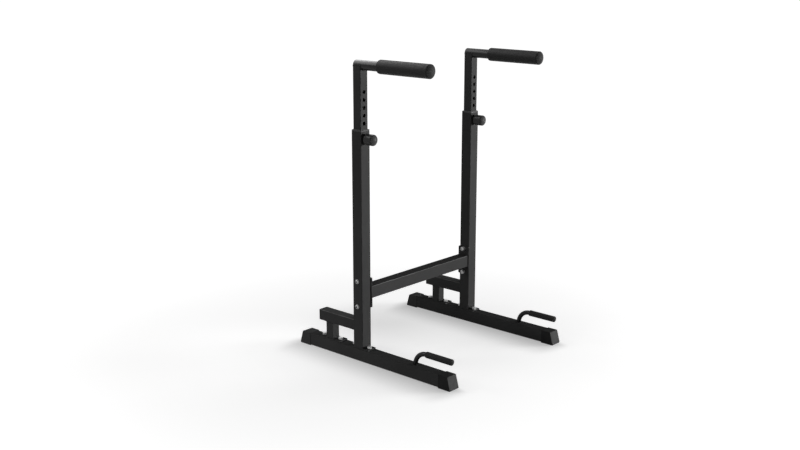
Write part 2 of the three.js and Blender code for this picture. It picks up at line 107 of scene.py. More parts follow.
def wired(tree, kind, inputs=None, **settings):
    node = tree.nodes.new(kind)
    for name, value in settings.items():
        setattr(node, name, value)
    feed(tree, node, inputs or {})
    return node.outputs


def maths(tree, operation, first, second=0.0):
    return wired(tree, "ShaderNodeMath", {0: first, 1: second}, operation=operation)[0]


def grey(shade):
    return (shade, shade, shade, 1.0)


def seen_as_white(tree):
    ray = wired(tree, "ShaderNodeLightPath")
    mirrored = maths(tree, "MAXIMUM", ray["Is Glossy Ray"], ray["Is Transmission Ray"])
    return maths(tree, "MAXIMUM", ray["Is Camera Ray"], mirrored)


def distance_from(tree, place, point):
    return wired(tree, "ShaderNodeVectorMath", {0: place, 1: point}, operation="DISTANCE")["Value"]


def fading(tree, distance, reach, near, far):
    return wired(
        tree, "ShaderNodeMapRange",
        {"Value": distance, "From Max": reach, "To Min": near, "To Max": far},
        interpolation_type="SMOOTHSTEP")["Result"]


sky = bpy.data.worlds.new("studio_sky")
sky.use_nodes = True
sky_tree = sky.node_tree
sky_tree.nodes.clear()
sky_level = wired(
    sky_tree, "ShaderNodeMapRange",
    {"Value": seen_as_white(sky_tree), "To Min": sky_strength, "To Max": 1.0})
sky_light = wired(sky_tree, "ShaderNodeBackground", {"Color": grey(1.0), "Strength": sky_level[0]})
wired(sky_tree, "ShaderNodeOutputWorld", {"Surface": sky_light[0]})
scene.world = sky

paper = bpy.data.materials.new("floor_paper")
paper.use_nodes = True
paper_tree = paper.node_tree
paper_tree.nodes.clear()


def paper_maths(operation, first, second=0.0):
    return maths(paper_tree, operation, first, second)


paper_place = wired(paper_tree, "ShaderNodeTexCoord")["Object"]
paper_glow = fading(
    paper_tree, distance_from(paper_tree, paper_place, pool_centre), pool_reach,
    paper_glow_near, paper_glow_far)
rail_low, rail_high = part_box("right_floor_rail")
rail_middle = (rail_low + rail_high) / 2
paper_parts = wired(paper_tree, "ShaderNodeSeparateXYZ", {0: paper_place})
outside_rail = paper_maths("SUBTRACT", paper_maths("ABSOLUTE", paper_parts["X"]), rail_middle.x)
right_of_rail = paper_maths("MULTIPLY", outside_rail, paper_maths("SIGN", paper_parts["X"]))
lit_side = paper_maths("DIVIDE", right_of_rail, lit_side_share)
shaded_side = paper_maths("MULTIPLY", right_of_rail, -1.0)
beside_rail = paper_maths("MAXIMUM", lit_side, shaded_side)
along_rail = paper_maths("ABSOLUTE", paper_maths("SUBTRACT", paper_parts["Y"], rail_middle.y))
past_rail = paper_maths("MAXIMUM", paper_maths("SUBTRACT", along_rail, rail_high.y - rail_middle.y))
beyond_rail = paper_maths("DIVIDE", past_rail, rail_end_share)
off_rail = wired(paper_tree, "ShaderNodeCombineXYZ", {0: beside_rail, 1: beyond_rail})
rail_distance = wired(
    paper_tree, "ShaderNodeVectorMath", {0: off_rail[0]}, operation="LENGTH")["Value"]
rail_shade = fading(paper_tree, rail_distance, rail_shadow_reach, rail_shadow, 0.0)
beam_shade = fading(
    paper_tree, distance_from(paper_tree, paper_place, beam_shadow_centre), beam_shadow_reach,
    beam_shadow, 0.0)
painted_shade = paper_maths("ADD", rail_shade, beam_shade)
paper_white = paper_maths(
    "MULTIPLY", seen_as_white(paper_tree), paper_maths("SUBTRACT", paper_glow, painted_shade))
paper_matt = wired(paper_tree, "ShaderNodeBsdfDiffuse", {"Color": grey(paper_shade)})
paper_light = wired(paper_tree, "ShaderNodeEmission", {"Strength": paper_white})
paper_surface = wired(paper_tree, "ShaderNodeAddShader", {0: paper_matt[0], 1: paper_light[0]})
wired(paper_tree, "ShaderNodeOutputMaterial", {"Surface": paper_surface[0]})

floor_mesh = bpy.data.meshes.new("studio_floor")
floor_corners = [
    (-paper_reach, -paper_reach, 0), (paper_reach, -paper_reach, 0),
    (paper_reach, paper_reach, 0), (-paper_reach, paper_reach, 0)]
floor_mesh.from_pydata(floor_corners, [], [(0, 1, 2, 3)])
floor_mesh.materials.append(paper)
placed("studio_floor", floor_mesh)


def soft_box(name, place, aim, size, power, spread, mirrored=False):
    lamp_data = bpy.data.lights.new(name, "AREA")
    lamp_data.shape = "RECTANGLE"
    lamp_data.size, lamp_data.size_y = size
    lamp_data.energy = power
    lamp_data.spread = math.radians(spread)
    lamp = placed(name, lamp_data)
    lamp.location = place
    lamp.rotation_euler = (Vector(aim) - Vector(place)).to_track_quat("-Z", "Y").to_euler()
    lamp.visible_camera = False
    lamp.visible_glossy = mirrored


soft_box("front_lamp", (5.4, -4.5, 0.9), (0.0, 0.0, 1.85), (3.4, 1.6), power=98.0, spread=50.0)
soft_box("front_card", (4.1, -4.8, 0.9), (0.0, -0.4, 0.3), (3.8, 1.8), 150.0, 180.0, mirrored=True)
soft_box("left_lamp", (-4.6, 0.5, 0.3), (0.0, 0.0, 0.2), (3.0, 2.0), power=10.5, spread=60.0)
soft_box("top_lamp", (-0.45, 1.1, 2.1), (-0.45, -1.0, 2.1), (2.1, 0.7), 26.0, 120.0, mirrored=True)
soft_box("low_lamp", (-1.3, 1.4, 1.2), (-0.36, 0.3, 0.1), (0.6, 0.4), 0.6, 40.0, mirrored=True)

# Floor rails: 50 mm square steel tube with rolled corners, cut to length, drilled on top for the
# foot bolts and coated in fine matt black powder. The coat is the finish of the whole frame, and a
# paler highlight is painted in patches onto its edges that face up and forward.
sides = ("left", "right")
tube_corner = 0.003
tube_wall = 0.002
cut_edge = 0.0004
corner_steps = 6
bolt_hole = 0.0055
drill_reach = 0.004
drill_steps = 40
sharp_angle = 32.0
coat_shade = 0.042
coat_gloss = 0.005
coat_roughness = 0.7
coat_roughness_spread = 0.08
coat_clouds = 7.0
coat_cloud_shares = (0.93, 1.07)
cloud_detail = 4.0
cloud_softness = 0.6
cloud_ends = (0.3, 0.7)
peel_scale = 420.0
peel_depth = 0.00004
powder_scale = 1900.0
powder_depth = 0.00002
grain_detail = 2.0
grain_softness = 0.55
# Painted highlight: the paler coat shade laid on edges that face up and forward.
painted_edge_highlight_shade = 0.16
top_edge_mark = "top_edge"
full_slope = 2.0
level_face = 0.9
highlight_slopes = (0.55, 0.95)
highlight_patches = (0.25, 0.6)
least_highlight = 0.45


def along(axis, u, v, w):
    return {"x": Vector((w, u, v)), "y": Vector((u, w, v)), "z": Vector((u, v, w))}[axis]


def section_of(node, axis):
    low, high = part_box(node)
    index = "xyz".index(axis)
    across = [i for i in range(3) if i != index]
    width, height = [high[i] - low[i] for i in across]
    middle = [(low[i] + high[i]) / 2 for i in across]
    return width, height, middle, low[index], high[index]


def middle_of(node):
    low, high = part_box(node)
    return (low + high) / 2


def rectangle(width, height, middle):
    u, v = middle
    right, top = u + width / 2, v + height / 2
    left, bottom = u - width / 2, v - height / 2
    return [Vector((left, bottom)), Vector((right, bottom)), Vector((right, top)),
            Vector((left, top))]


def rounded_outline(corners, radii, inset=0.0):
    outline = []
    for i, corner in enumerate(corners):
        before = (corner - corners[i - 1]).normalized()
        after = (corners[(i + 1) % len(corners)] - corner).normalized()
        inward = Vector((-before.y, before.x))
        inward_after = Vector((-after.y, after.x))
        turn = math.acos(before.dot(after))
        bend = max(radii[i] - inset, cut_edge / 2)
        inner = corner + (inward + inward_after) * inset / (1 + inward.dot(inward_after))
        start = inner - before * bend * math.tan(turn / 2)
        centre = start + inward * bend
        for step in range(corner_steps + 1):
            spoke = Matrix.Rotation(turn * step / corner_steps, 2) @ -inward
            outline.append(centre + spoke * bend)
    return outline


def circle_turns(steps):
    return [2 * math.pi * i / steps for i in range(steps)]


def circle(axis, middle, radius, w, steps):
    return [along(axis, middle[0] + radius * math.cos(a), middle[1] + radius * math.sin(a), w)
            for a in circle_turns(steps)]


def skin(bm, rings, looped=False):
    rows = [[bm.verts.new(point) for point in ring] for ring in rings]
    pairs = list(zip(rows, rows[1:]))
    if looped:
        pairs.append((rows[-1], rows[0]))
    else:
        for row in (rows[0], rows[-1]):
            if len(row) > 1:
                bm.faces.new(row)
    for first, second in pairs:
        for i in range(max(len(first), len(second))):
            corners = [first[i % len(first)], first[(i + 1) % len(first)],
                       second[(i + 1) % len(second)], second[i % len(second)]]
            bm.faces.new(list(dict.fromkeys(corners)))


def mesh_of(name, bm):
    bmesh.ops.recalc_face_normals(bm, faces=bm.faces)
    mesh = bpy.data.meshes.new(name)
    bm.to_mesh(mesh)
    bm.free()
    return mesh


def skinned(name, rings, looped=False):
    bm = bmesh.new()
    skin(bm, rings, looped)
    return mesh_of(name, bm)


def rounded_bar(name, axis, stations, looped=False):
    return skinned(name, [
        [along(axis, u, v, w) for u, v in rounded_outline(corners, radii, inset)]
        for corners, radii, inset, w in stations], looped)


def square_tube(name, axis, node):
    size, _, middle, start, end = section_of(node, axis)
    hollow = size - 2 * tube_wall
    outside = (rectangle(size, size, middle), [tube_corner] * 4)
    inside = (rectangle(hollow, hollow, middle), [tube_corner - tube_wall] * 4)
    return rounded_bar(name, axis, [
        (*outside, cut_edge, start), (*outside, 0.0, start + cut_edge),
        (*outside, 0.0, end - cut_edge), (*outside, cut_edge, end),
        (*inside, 0.0, end), (*inside, 0.0, start)], looped=True)


def round_bar(name, axis, middle, radius, start, end, steps=drill_steps):
    return skinned(name, [circle(axis, middle, radius, w, steps) for w in (start, end)])


def new_tree(name, sockets):
    tree = bpy.data.node_groups.new(name, "GeometryNodeTree")
    tree.interface.new_socket("Geometry", in_out="INPUT", socket_type="NodeSocketGeometry")
    for label, kind in sockets.items():
        tree.interface.new_socket(label, in_out="INPUT", socket_type="NodeSocket" + kind)
    tree.interface.new_socket("Finish", in_out="INPUT", socket_type="NodeSocketMaterial")
    tree.interface.new_socket("Geometry", in_out="OUTPUT", socket_type="NodeSocketGeometry")
    return tree, wired(tree, "NodeGroupInput")


def end_tree(tree, given, geometry):
    real = wired(tree, "GeometryNodeRealizeInstances", {"Geometry": geometry})
    coated = wired(
        tree, "GeometryNodeSetMaterial", {"Geometry": real[0], "Material": given["Finish"]})
    wired(tree, "NodeGroupOutput", {"Geometry": coated[0]})


def run_tree(tree, mesh, values):
    holder = placed(mesh.name, mesh)
    modifier = holder.modifiers.new(tree.name, "NODES")
    modifier.node_group = tree
    for socket in tree.interface.items_tree:
        if socket.in_out == "INPUT" and socket.name in values:
            modifier[socket.identifier] = values[socket.name]
    view = bpy.context.evaluated_depsgraph_get()
    made = bpy.data.meshes.new_from_object(holder.evaluated_get(view), depsgraph=view)
    made.name = mesh.name
    holder.modifiers.remove(modifier)
    bpy.data.objects.remove(holder)
    return made


drill_row, drill_given = new_tree(
    "drill_row", {"Drill": "Object", "Count": "Int", "Pitch": "Vector"})
drill_places = wired(
    drill_row, "GeometryNodeMeshLine",
    {"Count": drill_given["Count"], "Offset": drill_given["Pitch"]}, mode="OFFSET")
drill_shape = wired(drill_row, "GeometryNodeObjectInfo", {"Object": drill_given["Drill"]})
drills = wired(
    drill_row, "GeometryNodeInstanceOnPoints",
    {"Points": drill_places[0], "Instance": drill_shape["Geometry"]})
real_drills = wired(drill_row, "GeometryNodeRealizeInstances", {"Geometry": drills[0]})
drilled_mesh = wired(
    drill_row, "GeometryNodeMeshBoolean",
    {"Mesh 1": drill_given["Geometry"], "Mesh 2": real_drills[0]},
    operation="DIFFERENCE", solver="EXACT")
end_tree(drill_row, drill_given, drilled_mesh["Mesh"])


def drilled(mesh, drill, count=1, pitch=(0.0, 0.0, 0.0)):
    tool = placed(drill.name, drill)
    made = run_tree(
        drill_row, mesh, {"Drill": tool, "Count": count, "Pitch": pitch, "Finish": coat})
    bpy.data.objects.remove(tool)
    return made


def mark_faces(mesh, mark, levels):
    mesh.attributes.new(mark, "FLOAT", "FACE").data.foreach_set("value", levels)


# Marks the faces that take painted light: edges facing up and forward, and on the braces also edges
# facing up and left and their top faces.
def mark_top_edges(mesh, painted_top_light):
    slopes = []
    for face in mesh.polygons:
        x, y, z = face.normal
        slope = full_slope * max(z, 0.0) * max(-y, 0.0)
        if painted_top_light:
            slope = max(slope, full_slope * max(z, 0.0) * max(-x, 0.0),
                        painted_top_light * (z > level_face))
        slopes.append(slope)
    mark_faces(mesh, top_edge_mark, slopes)


def fitted(name, mesh, finish, body, slot, *nodes, painted_top_light=0.0):
    mark_top_edges(mesh, painted_top_light)
    mesh.materials.clear()
    mesh.materials.append(finish)
    mesh.shade_smooth()
    mesh.set_sharp_from_angle(angle=math.radians(sharp_angle))
    piece = placed(name, mesh)
    evened = piece.modifiers.new("even_normals", "WEIGHTED_NORMAL")
    evened.keep_sharp = True
    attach(piece, body)
    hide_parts(*nodes)
    return piece


def cloudy_shade(tree, place, scale, shade, shares):
    cloud = wired(
        tree, "ShaderNodeTexNoise",
        {"Vector": place, "Scale": scale, "Detail": cloud_detail, "Roughness": cloud_softness})
    ramp = tree.nodes.new("ShaderNodeValToRGB")
    feed(tree, ramp, {"Fac": cloud["Fac"]})
    for stop, position, share in zip(ramp.color_ramp.elements, cloud_ends, shares):
        stop.position = position
        stop.color = grey(shade * share)
    return ramp.outputs["Color"], cloud["Fac"]


def new_finish(name, clouds, shade, shares):
    finish = bpy.data.materials.new(name)
    finish.use_nodes = True
    tree = finish.node_tree
    place = wired(tree, "ShaderNodeTexCoord")["Object"]
    return finish, tree, place, *cloudy_shade(tree, place, clouds, shade, shares)


def mixed_colour(tree, share, first, second):
    return wired(tree, "ShaderNodeMix", {0: share, 6: first, 7: second}, data_type="RGBA")[2]


def marked(tree, mark):
    return wired(tree, "ShaderNodeAttribute", attribute_name=mark)["Fac"]


def bumps(tree, height, depth, under=None):
    inputs = {"Height": height, "Distance": depth, "Strength": 1.0}
    if under is not None:
        inputs["Normal"] = under
    return wired(tree, "ShaderNodeBump", inputs)["Normal"]


def grain(tree, place, scale, depth, under=None):
    specks = wired(
        tree, "ShaderNodeTexNoise",
        {"Vector": place, "Scale": scale, "Detail": grain_detail, "Roughness": grain_softness})
    return bumps(tree, specks["Fac"], depth, under)


def set_surface(tree, cloud, roughness, spread, inputs):
    rough = wired(
        tree, "ShaderNodeMapRange",
        {"Value": cloud, "To Min": roughness - spread, "To Max": roughness + spread})
    feed(tree, tree.nodes["Principled BSDF"], {"Roughness": rough[0], **inputs})


# Strength of the painted highlight: the edge mark, made patchy by the coat's clouds.
def top_edges(tree, painted_light_shares):
    edge = wired(
        tree, "ShaderNodeMapRange",
        {"Value": marked(tree, top_edge_mark), "From Min": highlight_slopes[0],
         "From Max": highlight_slopes[1]})
    patchy = wired(
        tree, "ShaderNodeMapRange",
        {"Value": painted_light_shares, "From Min": highlight_patches[0], "From Max": highlight_patches[1],
         "To Min": least_highlight, "To Max": 1.0})
    return maths(tree, "MULTIPLY", edge[0], patchy[0])


def powder_coat(name, shade, gloss, roughness, highlight_shade=0.0):
    finish, tree, place, colour, cloud = new_finish(name, coat_clouds, shade, coat_cloud_shares)
    # Painted highlight: the paler shade on the marked edges.
    if highlight_shade:
        colour = mixed_colour(tree, top_edges(tree, cloud), colour, grey(highlight_shade))
    peel = grain(tree, place, peel_scale, peel_depth)
    texture = grain(tree, place, powder_scale, powder_depth, peel)
    set_surface(tree, cloud, roughness, coat_roughness_spread, {
        "Base Color": colour, "Normal": texture, "Specular IOR Level": gloss})
    return finish


coat = powder_coat("powder_coat", coat_shade, coat_gloss, coat_roughness, painted_edge_highlight_shade)

for side in sides:
    rail_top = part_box(side + "_floor_rail")[1].z
    rail = square_tube(side + "_rail_tube", "y", side + "_floor_rail")
    for number in (1, 2, 3, 4):
        hole = middle_of("%s_foot_bolt_%d" % (side, number))
        drill = round_bar(
            "rail_drill", "z", hole.xy, bolt_hole, rail_top - tube_wall - drill_reach,
            rail_top + drill_reach)
        rail = drilled(rail, drill)
    fitted(side + "_rail_tube", rail, coat, "frame", "powder_coat", side + "_floor_rail")

# Foot plates: 5 mm flat steel with rounded corners and a bolt hole in each ear, welded under the
# upright and under the brace's post and bolted down on the rail.
plate_corner = 0.005
plate_edge = 0.0008
round_over = 0.3
plate_bolts = {"_upright_foot_plate": (1, 2), "_post_foot_plate": (3, 4)}


def flat_plate(name, axis, node):
    width, height, middle, start, end = section_of(node, axis)
    corners = rectangle(width, height, middle)
    return rounded_bar(name, axis, [
        (corners, [plate_corner] * 4, inset, w) for inset, w in (
            (plate_edge, start), (plate_edge * round_over, start + plate_edge * round_over),
            (0.0, start + plate_edge), (0.0, end - plate_edge),
            (plate_edge * round_over, end - plate_edge * round_over), (plate_edge, end))])


def drilled_plate(node, axis, hole, pitch):
    start, end = section_of(node, axis)[3:]
    drill = round_bar("plate_drill", axis, hole, bolt_hole, start - drill_reach, end + drill_reach)
    plate = drilled(flat_plate(node + "_steel", axis, node), drill, 2, pitch)
    fitted(node + "_steel", plate, coat, "frame", "powder_coat", node)


for side in sides:
    for plate_name, bolts in plate_bolts.items():
        first, second = [middle_of("%s_foot_bolt_%d" % (side, number)) for number in bolts]
        drilled_plate(side + plate_name, "z", first.xy, (0.0, second.y - first.y, 0.0))

# Uprights: 50 mm square tube with two holes across for the crossbeam's bolts and one in front for
# the locking pin. Rear braces of 45 mm and posts of 38 mm tube hold them from behind, and a paler
# light is painted onto the braces' tops and their upper edges that face left.
pin_hole = 0.0073
# Painted light: its share on the braces' tops and upper edges that face left.
brace_top_light = 0.68


def beam_bolt_holes(side):
    lower = middle_of(side + "_lower_beam_bolt")
    upper = middle_of(side + "_upper_beam_bolt")
    return lower.yz, (0.0, 0.0, upper.z - lower.z)


def plain_tube(name, axis, node, painted_top_light=0.0):
    tube = square_tube(name, axis, node)
    fitted(name, tube, coat, "frame", "powder_coat", node, painted_top_light=painted_top_light)


for side in sides:
    node = side + "_upright"
    upright_low, upright_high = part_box(node)
    upright = square_tube(side + "_upright_tube", "z", node)
    hole, pitch = beam_bolt_holes(side)
    cross_drill = round_bar(
        "cross_drill", "x", hole, bolt_hole, upright_low.x - drill_reach,
        upright_high.x + drill_reach)
    upright = drilled(upright, cross_drill, 2, pitch)
    pin_line = middle_of(side + "_lock_pin")
    pin_drill = round_bar(
        "pin_drill", "y", pin_line.xz, pin_hole, upright_low.y - drill_reach,
        upright_low.y + tube_wall + drill_reach)
    upright = drilled(upright, pin_drill)
    fitted(side + "_upright_tube", upright, coat, "frame", "powder_coat", node)
    plain_tube(side + "_brace_tube", "y", side + "_rear_brace", brace_top_light)
    plain_tube(side + "_post_tube", "z", side + "_brace_post")

# Crossbeam: 50 mm square tube between the frames, welded at each end to a 5 mm plate that the two
# through bolts pull against the upright. Its front is bare.
plain_tube("crossbeam_tube", "x", "crossbeam")
for side in sides:
    drilled_plate(side + "_beam_end_plate", "x", *beam_bolt_holes(side))

# Push-up rods: 19 mm round tube bent a quarter turn up from the rail and forward, under the same
# coat as the frame, which lies smoother and glossier on drawn round tube.
rod_wall = 0.002
rod_bend = 0.054
round_steps = 56
bend_steps = 20
smooth_coat_shade = 0.008
smooth_coat_gloss = 0.16
smooth_coat_roughness = 0.26

smooth_coat = powder_coat(
    "powder_coat_on_round_tube", smooth_coat_shade, smooth_coat_gloss, smooth_coat_roughness)

for side in sides:
    node = side + "_push_up_rod"
    rod_low, rod_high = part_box(node)
    rod_radius = (rod_high.x - rod_low.x) / 2
    middle_x = (rod_low.x + rod_high.x) / 2
    foot_y = rod_high.y - rod_radius
    path = []
    for step in range(bend_steps + 1):
        angle = math.pi / 2 * step / bend_steps
        centre = Vector((middle_x, foot_y + rod_bend * (math.cos(angle) - 1),
                         rod_low.z + rod_bend * math.sin(angle)))
        path.append((centre, Vector((0, math.cos(angle), math.sin(angle)))))
    path.append((Vector((middle_x, rod_low.y, path[-1][0].z)), path[-1][1]))
    rings = []
    for radius, stations in ((rod_radius, path), (rod_radius - rod_wall, path[::-1])):
        for centre, outward in stations:
            rings.append([
                centre + Vector((radius * math.cos(a), 0, 0)) + outward * radius * math.sin(a)
                for a in circle_turns(round_steps)])
    rod = skinned(side + "_push_up_tube", rings, looped=True)
    fitted(side + "_push_up_tube", rod, smooth_coat, "frame", "powder_coat", node)

# Foot caps: raked boots of injection-moulded plastic, pushed over the rail's ends. Their edges are
# round and their walls 1.7 mm, so they stand 2 mm proud of the steel's sides. A paler painted light
# lies on the front caps' raked toes and, at half strength, over the whole of the rear caps.
cap_rake = 0.016
cap_corner = 0.004
cap_mouth_corner = 0.0012
cap_edge = 0.002
cap_edge_steps = 5
cap_fit = 0.0003
plastic_shade = 0.024
plastic_gloss = 0.006
plastic_roughness = 0.5
plastic_roughness_spread = 0.06
plastic_clouds = 14.0
plastic_cloud_shares = (0.9, 1.1)
leather_scale = 1400.0
fine_leather_scale = 3200.0
cap_leather = 0.00006
# Painted light: the paler plastic shade on the front caps' toes and the rear caps.
painted_light_plastic_shade = 0.067
lit_plastic_clouds = 45.0
lit_plastic_cloud_shares = (0.92, 1.08)
painted_light_mark = "toe"
toe_forward = -0.6
toe_upward = 0.1
rear_cap_light = 0.5


def moulded_plastic(name, shade, gloss, roughness, leather_depth, lit_shade=0.0):
    finish, tree, place, colour, cloud = new_finish(
        name, plastic_clouds, shade, plastic_cloud_shares)
    # Painted light: a paler copy of the plastic, laid on where the faces are marked.
    if lit_shade:
        lit_plastic = cloudy_shade(tree, place, lit_plastic_clouds, lit_shade, lit_plastic_cloud_shares)[0]
        colour = mixed_colour(tree, marked(tree, painted_light_mark), colour, lit_plastic)
    cells = wired(
        tree, "ShaderNodeTexVoronoi", {"Vector": place, "Scale": leather_scale},
        feature="SMOOTH_F1")
    leather = bumps(tree, cells["Distance"], leather_depth)
    texture = grain(tree, place, fine_leather_scale, leather_depth / 3, leather)
    set_surface(tree, cloud, roughness, plastic_roughness_spread, {
        "Base Color": colour, "Normal": texture, "Specular IOR Level": gloss})
    return finish


cap_plastic = moulded_plastic(
    "cap_plastic", plastic_shade, plastic_gloss, plastic_roughness, cap_leather,
    painted_light_plastic_shade)


def square_bar(name, axis, middle, stations, looped=False):
    return rounded_bar(name, axis, [
        (rectangle(size, size, middle), [max(tube_corner, inset + tube_wall)] * 4, inset, w)
        for size, inset, w in stations], looped)


for side in sides:
    rail_size, _, rail_middle, rail_front, rail_rear = section_of(side + "_floor_rail", "y")
    for end in ("front", "rear"):
        node = "%s_%s_foot_cap" % (side, end)
        low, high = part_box(node)
        if end == "front":
            top_front, top_rear = low.y + cap_rake, high.y
            radii = [cap_corner, cap_mouth_corner, cap_mouth_corner, cap_corner]
            pocket_ends = (rail_front - cap_fit, high.y + drill_reach)
        else:
            top_front, top_rear = low.y, high.y - cap_rake
            radii = [cap_mouth_corner, cap_corner, cap_corner, cap_mouth_corner]
            pocket_ends = (low.y - drill_reach, rail_rear + cap_fit)
        corners = [Vector((low.y, low.z)), Vector((high.y, low.z)), Vector((top_rear, high.z)),
                   Vector((top_front, high.z))]
        roundings = []
        for step in range(cap_edge_steps + 1):
            angle = math.pi / 2 * step / cap_edge_steps
            roundings.append((cap_edge * (1 - math.sin(angle)), cap_edge * (1 - math.cos(angle))))
        stations = [(corners, radii, inset, low.x + depth) for inset, depth in roundings]
        stations += [(corners, radii, inset, high.x - depth)
                     for inset, depth in reversed(roundings)]
        pocket_size = rail_size + 2 * cap_fit
        pocket = square_bar(
            "cap_pocket", "y", rail_middle, [(pocket_size, 0.0, w) for w in pocket_ends])
        cap = drilled(rounded_bar(node + "_boot", "x", stations), pocket)
        # Painted light: full on the front caps' raked toe faces, half over the rear caps.
        if end == "front":
            painted_light_shares = [float(face.normal.y < toe_forward and face.normal.z > toe_upward)
                      for face in cap.polygons]
        else:
            painted_light_shares = [rear_cap_light] * len(cap.polygons)
        mark_faces(cap, painted_light_mark, painted_light_shares)
        fitted(node + "_boot", cap, cap_plastic, "frame", "cap_plastic", node)

# Brace plugs: plugs of the caps' plastic, moulded with a low crown, a flange that covers the tube's
# end and a stem that is pushed into the open rear end of the brace.
plug_edge = 0.0012
plug_crown = 0.0006
plug_crown_inset = 0.006
plug_stem = 0.016

for side in sides:
    node = side + "_brace_end_plug"
    flange, _, middle, _, crown = section_of(node, "y")
    stem = flange - 2 * (tube_wall + cap_fit)
    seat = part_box(side + "_rear_brace")[1].y + cap_fit
    plug = square_bar(side + "_brace_plug", "y", middle, [
        (stem, 0.0, seat - plug_stem), (stem, 0.0, seat), (flange, 0.0, seat),
        (flange, 0.0, crown - plug_edge - plug_crown),
        (flange, plug_edge * round_over, crown - plug_edge * round_over - plug_crown),
        (flange, plug_edge, crown - plug_crown), (flange, plug_crown_inset, crown)])
    fitted(side + "_brace_plug", plug, cap_plastic, "frame", "cap_plastic", node)

# Weld beads: fillets laid round every steel joint of the frame, in short overlapping ripples,
# under the powder coat.
bead_width = 0.0019
bead_ripple = 0.0024
bead_depth = 0.22
bead_step = 0.0006
bead_profile = 10

weld_bead, bead_given = new_tree(
    "weld_bead", {"Width": "Float", "Ripple": "Float", "Depth": "Float", "Step": "Float",
                  "Profile": "Int"})
bead_curve = wired(weld_bead, "GeometryNodeMeshToCurve", {"Mesh": bead_given["Geometry"]})
bead_points = wired(
    weld_bead, "GeometryNodeResampleCurve",
    {"Curve": bead_curve[0], "Length": bead_given["Step"]}, mode="LENGTH")
bead_run = wired(weld_bead, "GeometryNodeSplineParameter")["Length"]
bead_phase = maths(
    weld_bead, "MULTIPLY", maths(weld_bead, "DIVIDE", bead_run, bead_given["Ripple"]), math.pi)
bead_arch = maths(weld_bead, "ABSOLUTE", maths(weld_bead, "SINE", bead_phase))
bead_dip = maths(
    weld_bead, "MULTIPLY", maths(weld_bead, "SUBTRACT", 1.0, bead_arch), bead_given["Depth"])
bead_section = wired(
    weld_bead, "GeometryNodeCurvePrimitiveCircle",
    {"Resolution": bead_given["Profile"], "Radius": bead_given["Width"]})
bead_mesh = wired(
    weld_bead, "GeometryNodeCurveToMesh",
    {"Curve": bead_points[0], "Profile Curve": bead_section["Curve"],
     "Scale": maths(weld_bead, "SUBTRACT", 1.0, bead_dip), "Fill Caps": True})
end_tree(weld_bead, bead_given, bead_mesh[0])


def weld_round(node, axis, face):
    width, height, middle = section_of(node, axis)[:3]
    outline = rounded_outline(rectangle(width, height, middle), [tube_corner] * 4)
    return [along(axis, u, v, face) for u, v in outline]


def welded(name, paths, body):
    points, runs = [], []
    for path in paths:
        first = len(points)
        points += path
        runs += [(first + i, first + (i + 1) % len(path)) for i in range(len(path))]
    lines = bpy.data.meshes.new(name)
    lines.from_pydata(points, runs, [])
    beads = run_tree(
        weld_bead, lines,
        {"Width": bead_width, "Ripple": bead_ripple, "Depth": bead_depth, "Step": bead_step,
         "Profile": bead_profile, "Finish": coat})
    beads.shade_smooth()
    piece = placed(name, beads)
    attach(piece, body)


for side in sides:
    beam_low, beam_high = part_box("crossbeam")
    rod_low, rod_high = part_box(side + "_push_up_rod")
    rod_radius = (rod_high.x - rod_low.x) / 2
    rod_middle = ((rod_low.x + rod_high.x) / 2, rod_high.y - rod_radius)
    collar_width, _, collar_middle = section_of(side + "_pin_collar", "y")[:3]
    upright_low, upright_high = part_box(side + "_upright")
    welded(side + "_frame_welds", [
        weld_round(side + "_upright", "z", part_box(side + "_upright_foot_plate")[1].z),
        weld_round(side + "_brace_post", "z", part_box(side + "_post_foot_plate")[1].z),
        weld_round(side + "_brace_post", "z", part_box(side + "_rear_brace")[0].z),
        weld_round(side + "_rear_brace", "y", upright_high.y),
        weld_round("crossbeam", "x", beam_low.x if side == "left" else beam_high.x),
        circle("z", rod_middle, rod_radius, rod_low.z, round_steps),
        circle("y", collar_middle, collar_width / 2, upright_low.y, round_steps)],
        "frame")

# Bolts and nuts: zinc-plated steel. Hexagon bolts hold the foot plates, and button heads with a
# hexagon socket and lock nuts hold the crossbeam, all over washers.
hex_flats = 0.017
hex_height = 0.0065
hex_cone = math.tan(math.radians(30))
hex_flat_share = 0.95
washer_radius = 0.0092
washer_thickness = 0.002
washer_edge = 0.0003
seat_gap = 0.0003
bolt_radius = 0.005
bolt_point_share = 0.75
foot_bolt_shank = 0.020
button_radius = 0.0078
button_height = 0.0055
button_rim_share = 0.25
button_steps = 8
socket_flats = 0.0072
socket_depth = 0.0032
socket_point = 0.0012
socket_reach_share = 0.56
nut_height = 0.008
nut_collar_radius = 0.0074
nut_collar_height = 0.0025
bolt_recess = 0.0015
fastener_steps = 48
foot_bolt_seed = 4
beam_bolt_seed = 7
beam_nut_seed = 11
zinc_shade = 0.8
zinc_roughness = 0.3
zinc_metal = 0.55
dull_zinc_shade = 0.35
dull_zinc_roughness = 0.4
zinc_roughness_spread = 0.1
zinc_clouds = 160.0
zinc_cloud_shares = (0.86, 1.08)
zinc_grain_scale = 2400.0
zinc_grain_depth = 0.000015
# Painted shade: the dark colour inside the button heads' hexagon sockets.
socket_shade_mark = "recess"
painted_socket_shade = 0.03


def zinc_plating(name, shade, roughness, metal=1.0):
    finish, tree, place, bright, cloud = new_finish(name, zinc_clouds, shade, zinc_cloud_shares)
    # Painted shade darkens the marked socket faces.
    colour = mixed_colour(tree, marked(tree, socket_shade_mark), bright, grey(painted_socket_shade))
    texture = grain(tree, place, zinc_grain_scale, zinc_grain_depth)
    set_surface(tree, cloud, roughness, zinc_roughness_spread, {
        "Base Color": colour, "Normal": texture, "Metallic": metal})
    return finish


zinc = zinc_plating("zinc_plating", zinc_shade, zinc_roughness, zinc_metal)
dull_zinc = zinc_plating("dull_zinc_plating", dull_zinc_shade, dull_zinc_roughness)


